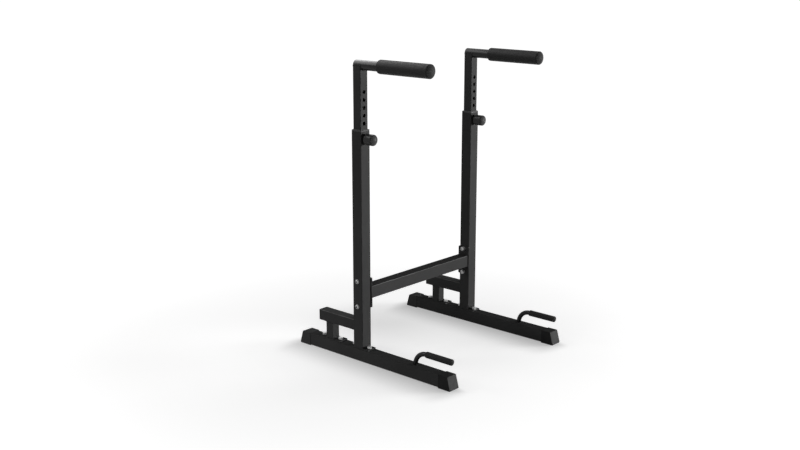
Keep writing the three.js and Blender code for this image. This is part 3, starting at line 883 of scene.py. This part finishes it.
def hex_reach(flats, angle):
    return flats / 2 / math.cos((angle + math.pi / 6) % (math.pi / 3) - math.pi / 6)


def fastener_ring(radius, height):
    return [Vector((radius(a) * math.cos(a), radius(a) * math.sin(a), height(a)))
            for a in circle_turns(fastener_steps)]


def round_ring(radius, height):
    return fastener_ring(lambda a: radius, lambda a: height)


def hex_ring(flats, height, wider=0.0):
    return fastener_ring(lambda a: hex_reach(flats, a) + wider, lambda a: height)


def hex_head(bm, bottom, top, tapped=0.0):
    flat = hex_flats / 2 * hex_flat_share
    rings = [
        round_ring(flat, bottom), hex_ring(hex_flats, bottom + washer_edge),
        fastener_ring(lambda a: hex_reach(hex_flats, a),
                      lambda a: top - (hex_reach(hex_flats, a) - flat) * hex_cone),
        round_ring(flat, top)]
    if tapped:
        rings += [
            round_ring(tapped + washer_edge * 2, top), round_ring(tapped, top - washer_edge * 2),
            round_ring(tapped, bottom)]
    skin(bm, rings, looped=bool(tapped))


def washer(bm):
    bottom, top = seat_gap, seat_gap + washer_thickness
    bore = bolt_radius + seat_gap
    skin(bm, [
        round_ring(bore, bottom), round_ring(washer_radius - washer_edge, bottom),
        round_ring(washer_radius, bottom + washer_edge),
        round_ring(washer_radius, top - washer_edge),
        round_ring(washer_radius - washer_edge, top), round_ring(bore, top)], looped=True)
    return top


def shank(bm, bottom, top):
    skin(bm, [
        round_ring(bolt_radius * bolt_point_share, bottom),
        round_ring(bolt_radius, bottom + bolt_radius * (1 - bolt_point_share)),
        round_ring(bolt_radius, top)])


def foot_bolt():
    bm = bmesh.new()
    washer_top = washer(bm)
    hex_head(bm, washer_top, washer_top + hex_height)
    shank(bm, -foot_bolt_shank, washer_top)
    return mesh_of("foot_bolt", bm)


def button_bolt(grip):
    bm = bmesh.new()
    bottom = washer(bm)
    top = bottom + button_height
    rings = [round_ring(button_radius - washer_edge, bottom),
             round_ring(button_radius, bottom + washer_edge)]
    for step in range(button_steps + 1):
        angle = math.pi / 2 * step / button_steps
        rings.append(round_ring(
            button_radius / 2 + button_radius / 2 * math.cos(angle),
            bottom + button_height * button_rim_share
            + button_height * (1 - button_rim_share) * math.sin(angle)))
    rings += [
        hex_ring(socket_flats, top, washer_edge), hex_ring(socket_flats, top - washer_edge),
        hex_ring(socket_flats, top - socket_depth),
        [Vector((0, 0, top - socket_depth - socket_point))]]
    skin(bm, rings)
    shank(bm, -grip, bottom)
    bolt = mesh_of("button_bolt", bm)
    # Mark the socket's inside for its painted shade.
    socket_reach = socket_flats * socket_reach_share
    mark_faces(bolt, socket_shade_mark, [
        float(face.center.xy.length < socket_reach and face.center.z > bottom)
        for face in bolt.polygons])
    return bolt


def lock_nut():
    bm = bmesh.new()
    washer_top = washer(bm)
    hex_top = washer_top + nut_height
    collar_top = hex_top + nut_collar_height
    bore = bolt_radius + seat_gap
    hex_head(bm, washer_top, hex_top, bore)
    skin(bm, [
        round_ring(bore, hex_top - washer_edge),
        round_ring(nut_collar_radius, hex_top - washer_edge),
        round_ring(nut_collar_radius, collar_top - washer_edge * 2),
        round_ring(nut_collar_radius - washer_edge * 2, collar_top),
        round_ring(bore, collar_top)], looped=True)
    return mesh_of("lock_nut", bm)


fastener_set, set_given = new_tree(
    "fastener_set", {"Fastener": "Object", "Axis": "Vector", "Seed": "Int"})
set_shape = wired(fastener_set, "GeometryNodeObjectInfo", {"Object": set_given["Fastener"]})
set_spin = wired(
    fastener_set, "FunctionNodeRandomValue", {3: 2 * math.pi, "Seed": set_given["Seed"]},
    data_type="FLOAT")
set_turn = wired(
    fastener_set, "FunctionNodeAxisAngleToRotation",
    {"Axis": set_given["Axis"], "Angle": set_spin[1]})
set_places = wired(
    fastener_set, "GeometryNodeInstanceOnPoints",
    {"Points": set_given["Geometry"], "Instance": set_shape["Geometry"],
     "Rotation": set_turn[0]})
end_tree(fastener_set, set_given, set_places[0])


def bolted(name, shape, axis, places, seed, finish, nodes):
    if axis.x:
        shape.transform(Matrix.Rotation(math.copysign(math.pi / 2, axis.x), 4, "Y"))
    pattern = placed(shape.name, shape)
    points = bpy.data.meshes.new(name)
    points.from_pydata(places, [], [])
    made = run_tree(
        fastener_set, points,
        {"Fastener": pattern, "Axis": tuple(axis), "Seed": seed, "Finish": finish})
    bpy.data.objects.remove(pattern)
    fitted(name, made, finish, "frame", "zinc", *nodes)


foot_bolt_places, foot_bolt_nodes = [], []
for side in sides:
    for plate_name, bolts in plate_bolts.items():
        for number in bolts:
            node = "%s_foot_bolt_%d" % (side, number)
            line = middle_of(node)
            foot_bolt_places.append((line.x, line.y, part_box(side + plate_name)[1].z))
            foot_bolt_nodes.append(node)
bolted("foot_bolts", foot_bolt(), Vector((0, 0, 1)), foot_bolt_places, foot_bolt_seed, zinc,
       foot_bolt_nodes)

for side, outward in (("left", -1.0), ("right", 1.0)):
    upright_low, upright_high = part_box(side + "_upright")
    plate_low, plate_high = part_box(side + "_beam_end_plate")
    outer_face = upright_low.x if side == "left" else upright_high.x
    inner_face = plate_high.x if side == "left" else plate_low.x
    stack = abs(inner_face - outer_face)
    shank_reach = (stack + seat_gap + washer_thickness + nut_height + nut_collar_height
                   - bolt_recess)
    bolt_nodes = [side + "_upper_beam_bolt", side + "_lower_beam_bolt"]
    nut_nodes = [side + "_upper_beam_nut", side + "_lower_beam_nut"]
    lines = [middle_of(node) for node in bolt_nodes]
    bolted(side + "_beam_bolts", button_bolt(shank_reach), Vector((outward, 0, 0)),
           [(outer_face, line.y, line.z) for line in lines], beam_bolt_seed, dull_zinc,
           bolt_nodes)
    bolted(side + "_beam_nuts", lock_nut(), Vector((-outward, 0, 0)),
           [(inner_face, line.y, line.z) for line in lines], beam_nut_seed, dull_zinc, nut_nodes)

# Guide bushes: flanged sleeves of lighter grey plastic in the uprights' mouths, in which the
# sliding tubes run. Only the flange shows, and the wiper lip that closes on the tube.
bush_rise = 0.0034
bush_lip = 0.0017
bush_lip_width = 0.0012
bush_edge = 0.0005
bush_fit = 0.0003
bush_shade = 0.06
bush_gloss = 0.12
bush_roughness = 0.5
bush_leather = 0.00003

bush_plastic = moulded_plastic("bush_plastic", bush_shade, bush_gloss, bush_roughness, bush_leather)

for side in sides:
    node = side + "_guide_bush"
    flange, _, middle, bottom, flange_top = section_of(node, "z")
    slide_width = section_of(side + "_slide_tube", "z")[0]
    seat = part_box(side + "_upright")[1].z + bush_fit
    sleeve = flange - 2 * (tube_wall + bush_fit)
    bore = slide_width + 2 * bush_fit
    rim = flange_top + bush_rise
    bush = square_bar(side + "_bush", "z", middle, [
        (bore, 0.0, bottom), (bore, 0.0, rim + bush_lip),
        (bore + bush_lip_width, 0.0, rim + bush_lip), (bore + 2 * bush_lip_width, 0.0, rim),
        (flange, bush_edge, rim),
        (flange, bush_edge * round_over, rim - bush_edge * round_over),
        (flange, 0.0, rim - bush_edge), (flange, 0.0, seat), (sleeve, 0.0, seat),
        (sleeve, 0.0, bottom)], looped=True)
    window = round_bar(
        "bush_window", "y", middle_of(side + "_lock_pin").xz, pin_hole,
        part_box(node)[0].y - drill_reach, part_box(side + "_slide_tube")[0].y + tube_wall)
    fitted(side + "_bush", drilled(bush, window), bush_plastic, "frame", "bush_plastic", node)

# Sliding tubes: 40 mm square tube with a row of punched pin holes down the front. The top end is
# coped to the round handle bar and welded round the saddle.
hole_radius = 0.0075
hole_pitch = 0.030
holes_below = 1
holes_above = 6
handle_radius = 0.019
cope_fit = 0.0003
cope_steps = 96
saddle_steps = 24

for side in sides:
    node = side + "_slide_tube"
    low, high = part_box(node)
    middle_x = (low.x + high.x) / 2
    pin_line = middle_of(side + "_lock_pin")
    slide = square_tube(side + "_slide_steel", "z", node)
    cope = round_bar(
        "cope_cutter", "y", (middle_x, high.z), handle_radius + cope_fit, low.y - drill_reach,
        high.y + drill_reach, cope_steps)
    slide = drilled(slide, cope)
    punch = round_bar(
        "hole_punch", "y", (middle_x, pin_line.z - holes_below * hole_pitch), hole_radius,
        low.y - drill_reach, low.y + tube_wall + drill_reach)
    slide = drilled(slide, punch, holes_below + 1 + holes_above, (0.0, 0.0, hole_pitch))
    fitted(side + "_slide_steel", slide, coat, side + "_slide", "powder_coat", node)
    front = []
    for step in range(saddle_steps + 1):
        angle = math.pi * step / saddle_steps
        front.append(Vector((middle_x - handle_radius * math.cos(angle), low.y,
                             high.z - handle_radius * math.sin(angle))))
    rear = [Vector((point.x, high.y - bead_width, point.z)) for point in reversed(front)]
    welded(side + "_saddle_weld", [front + rear], side + "_slide")

# Handle bars: 38 mm round tube across the sliding tubes' tops, smooth coated, with a moulded plug
# in the rear end and the foam grip on the rest.
handle_wall = 0.002
handle_plug_edge = 0.0018
handle_plug_stem = 0.016
lathe_steps = 72
arc_steps = 6


def turned(name, axis, middle, profile, looped=False, steps=lathe_steps):
    return skinned(name, [
        circle(axis, middle, radius, w, steps) if radius else [along(axis, *middle, w)]
        for radius, w in profile], looped)


def profile_arc(centre, radius, start, end, steps=arc_steps):
    points = []
    for step in range(steps + 1):
        angle = math.radians(start + (end - start) * step / steps)
        points.append((centre[0] + radius * math.cos(angle), centre[1] + radius * math.sin(angle)))
    return points


for side in sides:
    node = side + "_handle_bar"
    middle, front, rear = section_of(node, "y")[2:]
    bore = handle_radius - handle_wall
    bar = turned(side + "_handle_tube", "y", middle, [
        (bore, front), (handle_radius - cut_edge, front), (handle_radius, front + cut_edge),
        (handle_radius, rear - cut_edge), (handle_radius - cut_edge, rear), (bore, rear)],
        looped=True)
    fitted(side + "_handle_tube", bar, smooth_coat, side + "_slide", "powder_coat", node)
    plug_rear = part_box(side + "_handle_end_plug")[1].y
    seat = rear + cap_fit
    profile = [(0, seat - handle_plug_stem), (bore - cap_fit, seat - handle_plug_stem),
               (bore - cap_fit, seat), (handle_radius, seat)]
    profile += profile_arc(
        (handle_radius - handle_plug_edge, plug_rear - handle_plug_edge), handle_plug_edge, 0, 90)
    plug = turned(side + "_handle_plug", "y", middle, profile + [(0, plug_rear)])
    fitted(side + "_handle_plug", plug, cap_plastic, side + "_slide", "cap_plastic",
           side + "_handle_end_plug")

# Foam grips: closed-cell foam sleeves with domed closed ends, pushed on over the bars. They are
# matt, finely pored and a little uneven.
grip_edge = 0.0045
grip_edge_middle = 0.0085
grip_rear_edge = 0.003
push_grip_edge = 0.0022
push_grip_edge_middle = 0.0042
push_grip_rear_edge = 0.0011
grip_face_tilt = 30.0
dome_steps = 10
dome_edge_steps = 8
foam_shade = 0.016
foam_gloss = 0.09
foam_roughness = 0.52
foam_roughness_spread = 0.06
foam_clouds = 60.0
foam_cloud_shares = (0.85, 1.15)
pore_scale = 900.0
pore_depth = 0.00012
foam_wave_scale = 90.0
foam_wave_depth = 0.0004


def foam_rubber(name, shade, gloss, roughness):
    finish, tree, place, colour, cloud = new_finish(name, foam_clouds, shade, foam_cloud_shares)
    pores = wired(
        tree, "ShaderNodeTexVoronoi", {"Vector": place, "Scale": pore_scale}, feature="F1")
    pore_dips = bumps(tree, pores["Distance"], pore_depth)
    uneven = grain(tree, place, foam_wave_scale, foam_wave_depth, pore_dips)
    set_surface(tree, cloud, roughness, foam_roughness_spread, {
        "Base Color": colour, "Normal": uneven, "Specular IOR Level": gloss})
    return finish


foam = foam_rubber("black_foam", foam_shade, foam_gloss, foam_roughness)


def domed_end(radius, edge, edge_middle, face_tilt):
    tilt = math.radians(face_tilt)
    face_radius = radius - edge * (1 - math.sin(tilt))
    face_dome = face_radius * math.tan(tilt) / 2
    face_front = edge_middle - edge * math.cos(tilt) - face_dome
    profile = []
    for step in range(dome_steps):
        share = step / dome_steps
        profile.append((face_radius * share, face_front + face_dome * share ** 2))
    return profile + profile_arc(
        (radius - edge, edge_middle), edge, face_tilt - 90, 0, dome_edge_steps)


def foam_grip(name, node, bar_node, edge, edge_middle, rear_edge, body):
    width, _, middle, front, rear = section_of(node, "y")
    bar_width, _, _, bar_front, _ = section_of(bar_node, "y")
    radius = width / 2
    bore = bar_width / 2 + cap_fit
    profile = domed_end(radius, edge, front + edge_middle, grip_face_tilt)
    profile += profile_arc((radius - rear_edge, rear - rear_edge), rear_edge, 0, 90)
    profile += [(bore, rear), (bore, bar_front - cap_fit), (0, bar_front - cap_fit)]
    grip = fitted(name, turned(name, "y", middle, profile), foam, body, "foam", node)


for side in sides:
    foam_grip(side + "_handle_foam", side + "_handle_grip", side + "_handle_bar", grip_edge,
              grip_edge_middle, grip_rear_edge, side + "_slide")
    foam_grip(side + "_push_up_foam", side + "_push_up_grip", side + "_push_up_rod",
              push_grip_edge, push_grip_edge_middle, push_grip_rear_edge, "frame")

# Locking pins: a turned steel pin with a shoulder, pushed by a coil spring inside a collar that is
# welded to the upright, and pulled by a round knob moulded onto its stem.
pin_radius = 0.007
pin_point = 0.0015
pin_span = 0.0116
pin_steps = 40
shoulder_radius = 0.0082
shoulder_thickness = 0.002
stem_radius = 0.004
collar_end_wall = 0.003
collar_edge = 0.001
spring_wire = 0.0006
spring_turns = 6.0
spring_wire_steps = 10
spring_turn_steps = 40
knob_edge = 0.0065
knob_face_tilt = 28.0
knob_edge_middle = 0.008
knob_skirt_edge = 0.0015
knob_bore_gap = 0.0006
knob_hollow_reach = 0.0071
knob_seat = 0.0036
knob_shade = 0.03
knob_gloss = 0.1
knob_roughness = 0.31
knob_leather = 0.00001
steel_shade = 0.5
steel_roughness = 0.28
collar_shade = 0.012
collar_gloss = 0.34
collar_roughness = 0.24

knob_plastic = moulded_plastic("knob_plastic", knob_shade, knob_gloss, knob_roughness, knob_leather)
bare_steel = zinc_plating("bare_steel", steel_shade, steel_roughness)
collar_coat = powder_coat("powder_coat_on_collar", collar_shade, collar_gloss, collar_roughness)

coil, coil_given = new_tree(
    "coil_spring", {"Turns": "Float", "Radius": "Float", "Length": "Float", "Wire": "Float",
                    "Turn steps": "Int", "Wire steps": "Int", "Place": "Vector"})
coil_line = wired(
    coil, "GeometryNodeCurveSpiral",
    {"Resolution": coil_given["Turn steps"], "Rotations": coil_given["Turns"],
     "Start Radius": coil_given["Radius"], "End Radius": coil_given["Radius"],
     "Height": coil_given["Length"]})
coil_section = wired(
    coil, "GeometryNodeCurvePrimitiveCircle",
    {"Resolution": coil_given["Wire steps"], "Radius": coil_given["Wire"]})
coil_wire = wired(
    coil, "GeometryNodeCurveToMesh",
    {"Curve": coil_line[0], "Profile Curve": coil_section["Curve"], "Fill Caps": True})
coil_placed = wired(
    coil, "GeometryNodeTransform",
    {"Geometry": coil_wire[0], "Translation": coil_given["Place"],
     "Rotation": (math.pi / 2, 0.0, 0.0)})
end_tree(coil, coil_given, coil_placed[0])

for side in sides:
    middle, pin_front, pin_rear = section_of(side + "_lock_pin", "y")[2:]
    shoulder_rear = pin_rear - pin_span
    shoulder_front = shoulder_rear - shoulder_thickness
    pin = turned(side + "_pin_steel", "y", middle, [
        (0, pin_front), (stem_radius, pin_front), (stem_radius, shoulder_front),
        (shoulder_radius, shoulder_front), (shoulder_radius, shoulder_rear),
        (pin_radius, shoulder_rear), (pin_radius, pin_rear - pin_point),
        (pin_radius - pin_point, pin_rear), (0, pin_rear)], steps=pin_steps)
    fitted(side + "_pin_steel", pin, bare_steel, side + "_pin", "bare_steel", side + "_lock_pin")

    collar_width, _, _, collar_front, collar_rear = section_of(side + "_pin_collar", "y")
    collar_radius = collar_width / 2
    stem_bore = stem_radius + seat_gap
    spring_bore = shoulder_radius + seat_gap
    collar = turned(side + "_collar_steel", "y", middle, [
        (stem_bore, collar_front), (collar_radius - collar_edge, collar_front),
        (collar_radius - collar_edge * round_over, collar_front + collar_edge * round_over),
        (collar_radius, collar_front + collar_edge), (collar_radius, collar_rear),
        (spring_bore, collar_rear), (spring_bore, collar_front + collar_end_wall),
        (stem_bore, collar_front + collar_end_wall)], looped=True)
    fitted(side + "_collar_steel", collar, collar_coat, "frame", "powder_coat",
           side + "_pin_collar")

    coil_width, _, _, coil_front, coil_rear = section_of(side + "_pin_spring", "y")
    spring = run_tree(coil, bpy.data.meshes.new(side + "_spring_wire"), {
        "Turns": spring_turns, "Radius": coil_width / 2 - spring_wire,
        "Length": coil_rear - coil_front - 2 * spring_wire, "Wire": spring_wire,
        "Turn steps": spring_turn_steps, "Wire steps": spring_wire_steps,
        "Place": (middle[0], coil_rear - spring_wire, middle[1]), "Finish": bare_steel})
    spring.shade_smooth()
    spring_piece = placed(side + "_spring_wire", spring)
    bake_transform(spring_piece)
    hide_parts(side + "_pin_spring")

    knob_width, _, _, knob_front, knob_rear = section_of(side + "_pull_knob", "y")
    knob_radius = knob_width / 2
    skirt_bore = collar_radius + knob_bore_gap
    hollow_front = collar_front - knob_hollow_reach
    stem_seat = knob_front + knob_seat
    profile = domed_end(knob_radius, knob_edge, knob_front + knob_edge_middle, knob_face_tilt)
    profile += profile_arc(
        (knob_radius - knob_skirt_edge, knob_rear - knob_skirt_edge), knob_skirt_edge, 0, 90)
    profile += [(skirt_bore, knob_rear), (skirt_bore, hollow_front), (stem_bore, hollow_front),
                (stem_bore, stem_seat), (0, stem_seat)]
    knob = turned(side + "_knob", "y", middle, profile)
    fitted(side + "_knob", knob, knob_plastic, side + "_pin", "knob_plastic", side + "_pull_knob")
